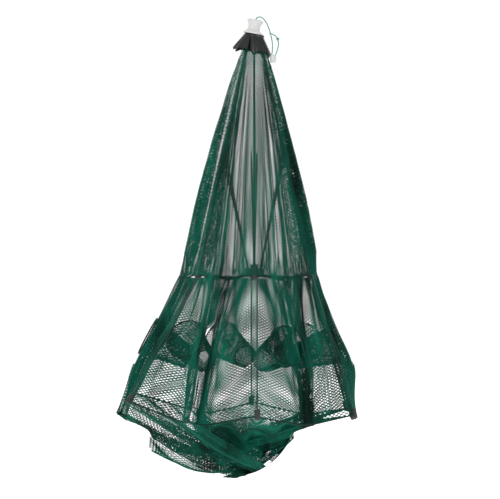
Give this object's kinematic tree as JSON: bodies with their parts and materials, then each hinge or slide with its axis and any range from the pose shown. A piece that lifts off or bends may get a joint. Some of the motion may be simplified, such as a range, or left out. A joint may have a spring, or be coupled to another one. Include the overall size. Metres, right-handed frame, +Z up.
{
  "type": "folding crab trap",
  "caption": "Umbrella-type folding net trap, hanging folded from its hub: hinged ribs and legs, stretchers on a runner, netting, entrance funnels and a pull cord.",
  "frame": {"origin": "centre of the top hub's waist, where the trap is hung", "axes": "+Z up along the folded trap, towards the hub's lip; +X to the right of the side shown, where the pull cord's bead hangs"},
  "size_m": [0.4618, 0.4616, 0.8666],
  "materials": {
    "hub_plastic": "smooth moulded white",
    "crown_plastic": "moulded black",
    "steel_wire": "dark drawn wire",
    "collar_vinyl": "creased shiny vinyl",
    "net_twine": "knotless twine netting",
    "hem_tape": "woven binding",
    "cap_rubber": "moulded, dull",
    "cord_twine": "braided",
    "bead_plastic": "smooth moulded"
  },
  "bodies": {
    "frame": {"top_hub": "hub_plastic", "crown": "crown_plastic", "crown_wire": "steel_wire", "collar": "collar_vinyl"},
    "runner": {"runner": "crown_plastic", "runner_wire": "steel_wire", "pull_cord": "cord_twine", "bead": "bead_plastic", "cord_knot": "cord_twine"},
    "floor_center": {"floor_net": "net_twine"},
    "rib_1": {"rib_1": "steel_wire"},
    "leg_1": {"leg_1": "steel_wire", "leg_cap_1": "cap_rubber"},
    "stretcher_1": {"stretcher_1": "steel_wire"},
    "roof_left_1": {"roof_panel_1": "net_twine"},
    "side_left_1": {"entrance_funnel_1": "net_twine"},
    "roof_right_1": {"hem_tape_1": "hem_tape"},
    "side_right_1": {"side_panel_1": "net_twine"},
    "rib_2": {"rib_2": "steel_wire"},
    "leg_2": {"leg_2": "steel_wire", "leg_cap_2": "cap_rubber"},
    "stretcher_2": {"stretcher_2": "steel_wire"},
    "roof_left_2": {"roof_panel_2": "net_twine"},
    "side_left_2": {"entrance_funnel_2": "net_twine"},
    "roof_right_2": {"hem_tape_2": "hem_tape"},
    "side_right_2": {"side_panel_2": "net_twine"},
    "rib_3": {"rib_3": "steel_wire"},
    "leg_3": {"leg_3": "steel_wire", "leg_cap_3": "cap_rubber"},
    "stretcher_3": {"stretcher_3": "steel_wire"},
    "roof_left_3": {"roof_panel_3": "net_twine"},
    "side_left_3": {"entrance_funnel_3": "net_twine"},
    "roof_right_3": {"hem_tape_3": "hem_tape"},
    "side_right_3": {"side_panel_3": "net_twine"},
    "rib_4": {"rib_4": "steel_wire"},
    "leg_4": {"leg_4": "steel_wire", "leg_cap_4": "cap_rubber"},
    "stretcher_4": {"stretcher_4": "steel_wire"},
    "roof_left_4": {"roof_panel_4": "net_twine"},
    "side_left_4": {"entrance_funnel_4": "net_twine"},
    "roof_right_4": {"hem_tape_4": "hem_tape"},
    "side_right_4": {"side_panel_4": "net_twine"},
    "rib_5": {"rib_5": "steel_wire"},
    "leg_5": {"leg_5": "steel_wire", "leg_cap_5": "cap_rubber"},
    "stretcher_5": {"stretcher_5": "steel_wire"},
    "roof_left_5": {"roof_panel_5": "net_twine"},
    "side_left_5": {"entrance_funnel_5": "net_twine"},
    "roof_right_5": {"hem_tape_5": "hem_tape"},
    "side_right_5": {"side_panel_5": "net_twine"},
    "rib_6": {"rib_6": "steel_wire"},
    "leg_6": {"leg_6": "steel_wire", "leg_cap_6": "cap_rubber"},
    "stretcher_6": {"stretcher_6": "steel_wire"},
    "roof_left_6": {"roof_panel_6": "net_twine"},
    "side_left_6": {"entrance_funnel_6": "net_twine"},
    "roof_right_6": {"hem_tape_6": "hem_tape"},
    "side_right_6": {"side_panel_6": "net_twine"}
  },
  "joints": [
    {"name": "runner_slide", "type": "slide", "parent": "frame", "child": "runner", "axis": [0, 0, 1], "range_m": [0, 0.354], "deforming": ["collar"]},
    {"name": "rib_hinge_1", "type": "hinge", "parent": "frame", "child": "rib_1", "pos_m": [0.01039, 0.006, -0.0225], "axis": [0.5, -0.866, 0], "range_deg": [0, 68.2]},
    {"name": "elbow_1", "type": "hinge", "parent": "rib_1", "child": "leg_1", "pos_m": [0.10645, 0.06146, -0.47408], "axis": [0.5, -0.866, 0], "range_deg": [-87.2, 0]},
    {"name": "stretcher_hinge_1", "type": "hinge", "parent": "runner", "child": "stretcher_1", "pos_m": [0.01039, 0.006, -0.4645], "axis": [-0.5, 0.866, 0], "range_deg": [0, 62.14]},
    {"name": "roof_left_spread_1", "type": "slide", "parent": "rib_1", "child": "roof_left_1", "axis": [-0.5193, 0.6081, 0.6005], "range_m": [0, 0.18263], "deforming": ["roof_panel_1"]},
    {"name": "side_left_spread_1", "type": "slide", "parent": "leg_1", "child": "side_left_1", "axis": [-0.872, 0.438, -0.2184], "range_m": [0, 0.1761], "deforming": ["entrance_funnel_1"]},
    {"name": "roof_right_spread_1", "type": "slide", "parent": "rib_1", "child": "roof_right_1", "axis": [0.2871, -0.7492, 0.5969], "range_m": [0, 0.18374], "deforming": ["hem_tape_1"]},
    {"name": "side_right_spread_1", "type": "slide", "parent": "leg_1", "child": "side_right_1", "axis": [-0.034, -0.9752, -0.2186], "range_m": [0, 0.17592], "deforming": ["side_panel_1"]},
    {"name": "rib_hinge_2", "type": "hinge", "parent": "frame", "child": "rib_2", "pos_m": [0, 0.012, -0.0225], "axis": [1, 0, 0], "range_deg": [0, 68.2]},
    {"name": "elbow_2", "type": "hinge", "parent": "rib_2", "child": "leg_2", "pos_m": [0, 0.12292, -0.47408], "axis": [1, 0, 0], "range_deg": [-90.2, 0]},
    {"name": "stretcher_hinge_2", "type": "hinge", "parent": "runner", "child": "stretcher_2", "pos_m": [0, 0.012, -0.4645], "axis": [-1, 0, 0], "range_deg": [0, 62.14]},
    {"name": "roof_left_spread_2", "type": "slide", "parent": "rib_2", "child": "roof_left_2", "axis": [-0.7797, -0.1656, 0.6039], "range_m": [0, 0.1816], "deforming": ["roof_panel_2"]},
    {"name": "side_left_spread_2", "type": "slide", "parent": "leg_2", "child": "side_left_2", "axis": [-0.802, -0.5422, -0.2506], "range_m": [0, 0.17654], "deforming": ["entrance_funnel_2"]},
    {"name": "roof_right_spread_2", "type": "slide", "parent": "rib_2", "child": "roof_right_2", "axis": [0.7862, -0.1457, 0.6005], "range_m": [0, 0.18263], "deforming": ["hem_tape_2"]},
    {"name": "side_right_spread_2", "type": "slide", "parent": "leg_2", "child": "side_right_2", "axis": [0.8144, -0.5232, -0.251], "range_m": [0, 0.17631], "deforming": ["side_panel_2"]},
    {"name": "rib_hinge_3", "type": "hinge", "parent": "frame", "child": "rib_3", "pos_m": [-0.01039, 0.006, -0.0225], "axis": [0.5, 0.866, 0], "range_deg": [0, 68.2]},
    {"name": "elbow_3", "type": "hinge", "parent": "rib_3", "child": "leg_3", "pos_m": [-0.10645, 0.06146, -0.47408], "axis": [0.5, 0.866, 0], "range_deg": [-101.2, 0]},
    {"name": "stretcher_hinge_3", "type": "hinge", "parent": "runner", "child": "stretcher_3", "pos_m": [-0.01039, 0.006, -0.4645], "axis": [-0.5, -0.866, 0], "range_deg": [0, 62.14]},
    {"name": "roof_left_spread_3", "type": "slide", "parent": "rib_3", "child": "roof_left_3", "axis": [-0.1721, -0.7704, 0.6138], "range_m": [0, 0.17867], "deforming": ["roof_panel_3"]},
    {"name": "side_left_spread_3", "type": "slide", "parent": "leg_3", "child": "side_left_3", "axis": [0.0957, -0.9276, -0.3611], "range_m": [0, 0.17815], "deforming": ["entrance_funnel_3"]},
    {"name": "roof_right_spread_3", "type": "slide", "parent": "rib_3", "child": "roof_right_3", "axis": [0.5332, 0.5924, 0.6039], "range_m": [0, 0.1816], "deforming": ["hem_tape_3"]},
    {"name": "side_right_spread_3", "type": "slide", "parent": "leg_3", "child": "side_right_3", "axis": [0.8155, 0.451, -0.3627], "range_m": [0, 0.17736], "deforming": ["side_panel_3"]},
    {"name": "rib_hinge_4", "type": "hinge", "parent": "frame", "child": "rib_4", "pos_m": [-0.01039, -0.006, -0.0225], "axis": [-0.5, 0.866, 0], "range_deg": [0, 68.2]},
    {"name": "elbow_4", "type": "hinge", "parent": "rib_4", "child": "leg_4", "pos_m": [-0.10645, -0.06146, -0.47408], "axis": [-0.5, 0.866, 0], "range_deg": [-101.2, 0]},
    {"name": "stretcher_hinge_4", "type": "hinge", "parent": "runner", "child": "stretcher_4", "pos_m": [-0.01039, -0.006, -0.4645], "axis": [0.5, -0.866, 0], "range_deg": [0, 62.14]},
    {"name": "roof_left_spread_4", "type": "slide", "parent": "rib_4", "child": "roof_left_4", "axis": [0.5332, -0.5924, 0.6039], "range_m": [0, 0.1816], "deforming": ["roof_panel_4"]},
    {"name": "side_left_spread_4", "type": "slide", "parent": "leg_4", "child": "side_left_4", "axis": [0.8155, -0.451, -0.3627], "range_m": [0, 0.17736], "deforming": ["entrance_funnel_4"]},
    {"name": "roof_right_spread_4", "type": "slide", "parent": "rib_4", "child": "roof_right_4", "axis": [-0.1721, 0.7704, 0.6138], "range_m": [0, 0.17867], "deforming": ["hem_tape_4"]},
    {"name": "side_right_spread_4", "type": "slide", "parent": "leg_4", "child": "side_right_4", "axis": [0.0957, 0.9276, -0.3611], "range_m": [0, 0.17815], "deforming": ["side_panel_4"]},
    {"name": "rib_hinge_5", "type": "hinge", "parent": "frame", "child": "rib_5", "pos_m": [0, -0.012, -0.0225], "axis": [-1, 0, 0], "range_deg": [0, 68.2]},
    {"name": "elbow_5", "type": "hinge", "parent": "rib_5", "child": "leg_5", "pos_m": [0, -0.12292, -0.47408], "axis": [-1, 0, 0], "range_deg": [-90.2, 0]},
    {"name": "stretcher_hinge_5", "type": "hinge", "parent": "runner", "child": "stretcher_5", "pos_m": [0, -0.012, -0.4645], "axis": [1, 0, 0], "range_deg": [0, 62.14]},
    {"name": "roof_left_spread_5", "type": "slide", "parent": "rib_5", "child": "roof_left_5", "axis": [0.7862, 0.1457, 0.6005], "range_m": [0, 0.18263], "deforming": ["roof_panel_5"]},
    {"name": "side_left_spread_5", "type": "slide", "parent": "leg_5", "child": "side_left_5", "axis": [0.8144, 0.5232, -0.251], "range_m": [0, 0.17631], "deforming": ["entrance_funnel_5"]},
    {"name": "roof_right_spread_5", "type": "slide", "parent": "rib_5", "child": "roof_right_5", "axis": [-0.7797, 0.1656, 0.6039], "range_m": [0, 0.1816], "deforming": ["hem_tape_5"]},
    {"name": "side_right_spread_5", "type": "slide", "parent": "leg_5", "child": "side_right_5", "axis": [-0.802, 0.5422, -0.2506], "range_m": [0, 0.17654], "deforming": ["side_panel_5"]},
    {"name": "rib_hinge_6", "type": "hinge", "parent": "frame", "child": "rib_6", "pos_m": [0.01039, -0.006, -0.0225], "axis": [-0.5, -0.866, 0], "range_deg": [0, 68.2]},
    {"name": "elbow_6", "type": "hinge", "parent": "rib_6", "child": "leg_6", "pos_m": [0.10645, -0.06146, -0.47408], "axis": [-0.5, -0.866, 0], "range_deg": [-87.2, 0]},
    {"name": "stretcher_hinge_6", "type": "hinge", "parent": "runner", "child": "stretcher_6", "pos_m": [0.01039, -0.006, -0.4645], "axis": [0.5, 0.866, 0], "range_deg": [0, 62.14]},
    {"name": "roof_left_spread_6", "type": "slide", "parent": "rib_6", "child": "roof_left_6", "axis": [0.2871, 0.7492, 0.5969], "range_m": [0, 0.18374], "deforming": ["roof_panel_6"]},
    {"name": "side_left_spread_6", "type": "slide", "parent": "leg_6", "child": "side_left_6", "axis": [-0.034, 0.9752, -0.2186], "range_m": [0, 0.17592], "deforming": ["entrance_funnel_6"]},
    {"name": "roof_right_spread_6", "type": "slide", "parent": "rib_6", "child": "roof_right_6", "axis": [-0.5193, -0.6081, 0.6005], "range_m": [0, 0.18263], "deforming": ["hem_tape_6"]},
    {"name": "side_right_spread_6", "type": "slide", "parent": "leg_6", "child": "side_right_6", "axis": [-0.872, -0.438, -0.2184], "range_m": [0, 0.1761], "deforming": ["side_panel_6"]},
    {"name": "floor_lift", "type": "slide", "parent": "frame", "child": "floor_center", "axis": [0, 0, 1], "range_m": [0, 0.4887], "deforming": ["floor_net"]}
  ],
  "couplings": [
    {"joint": "rib_hinge_1", "follows": "runner_slide", "rad_per_m": 3.3625},
    {"joint": "elbow_1", "follows": "runner_slide", "rad_per_m": -4.2992},
    {"joint": "stretcher_hinge_1", "follows": "runner_slide", "rad_per_m": 3.0638},
    {"joint": "roof_left_spread_1", "follows": "runner_slide", "ratio": 0.5159},
    {"joint": "side_left_spread_1", "follows": "runner_slide", "ratio": 0.49746},
    {"joint": "roof_right_spread_1", "follows": "runner_slide", "ratio": 0.51903},
    {"joint": "side_right_spread_1", "follows": "runner_slide", "ratio": 0.49695},
    {"joint": "rib_hinge_2", "follows": "runner_slide", "rad_per_m": 3.3625},
    {"joint": "elbow_2", "follows": "runner_slide", "rad_per_m": -4.4471},
    {"joint": "stretcher_hinge_2", "follows": "runner_slide", "rad_per_m": 3.0638},
    {"joint": "roof_left_spread_2", "follows": "runner_slide", "ratio": 0.513},
    {"joint": "side_left_spread_2", "follows": "runner_slide", "ratio": 0.49871},
    {"joint": "roof_right_spread_2", "follows": "runner_slide", "ratio": 0.5159},
    {"joint": "side_right_spread_2", "follows": "runner_slide", "ratio": 0.49806},
    {"joint": "rib_hinge_3", "follows": "runner_slide", "rad_per_m": 3.3625},
    {"joint": "elbow_3", "follows": "runner_slide", "rad_per_m": -4.9895},
    {"joint": "stretcher_hinge_3", "follows": "runner_slide", "rad_per_m": 3.0638},
    {"joint": "roof_left_spread_3", "follows": "runner_slide", "ratio": 0.50471},
    {"joint": "side_left_spread_3", "follows": "runner_slide", "ratio": 0.50324},
    {"joint": "roof_right_spread_3", "follows": "runner_slide", "ratio": 0.513},
    {"joint": "side_right_spread_3", "follows": "runner_slide", "ratio": 0.50101},
    {"joint": "rib_hinge_4", "follows": "runner_slide", "rad_per_m": 3.3625},
    {"joint": "elbow_4", "follows": "runner_slide", "rad_per_m": -4.9895},
    {"joint": "stretcher_hinge_4", "follows": "runner_slide", "rad_per_m": 3.0638},
    {"joint": "roof_left_spread_4", "follows": "runner_slide", "ratio": 0.513},
    {"joint": "side_left_spread_4", "follows": "runner_slide", "ratio": 0.50101},
    {"joint": "roof_right_spread_4", "follows": "runner_slide", "ratio": 0.50471},
    {"joint": "side_right_spread_4", "follows": "runner_slide", "ratio": 0.50324},
    {"joint": "rib_hinge_5", "follows": "runner_slide", "rad_per_m": 3.3625},
    {"joint": "elbow_5", "follows": "runner_slide", "rad_per_m": -4.4471},
    {"joint": "stretcher_hinge_5", "follows": "runner_slide", "rad_per_m": 3.0638},
    {"joint": "roof_left_spread_5", "follows": "runner_slide", "ratio": 0.5159},
    {"joint": "side_left_spread_5", "follows": "runner_slide", "ratio": 0.49806},
    {"joint": "roof_right_spread_5", "follows": "runner_slide", "ratio": 0.513},
    {"joint": "side_right_spread_5", "follows": "runner_slide", "ratio": 0.49871},
    {"joint": "rib_hinge_6", "follows": "runner_slide", "rad_per_m": 3.3625},
    {"joint": "elbow_6", "follows": "runner_slide", "rad_per_m": -4.2992},
    {"joint": "stretcher_hinge_6", "follows": "runner_slide", "rad_per_m": 3.0638},
    {"joint": "roof_left_spread_6", "follows": "runner_slide", "ratio": 0.51903},
    {"joint": "side_left_spread_6", "follows": "runner_slide", "ratio": 0.49695},
    {"joint": "roof_right_spread_6", "follows": "runner_slide", "ratio": 0.5159},
    {"joint": "side_right_spread_6", "follows": "runner_slide", "ratio": 0.49746},
    {"joint": "floor_lift", "follows": "runner_slide", "ratio": 1.3805}
  ]
}
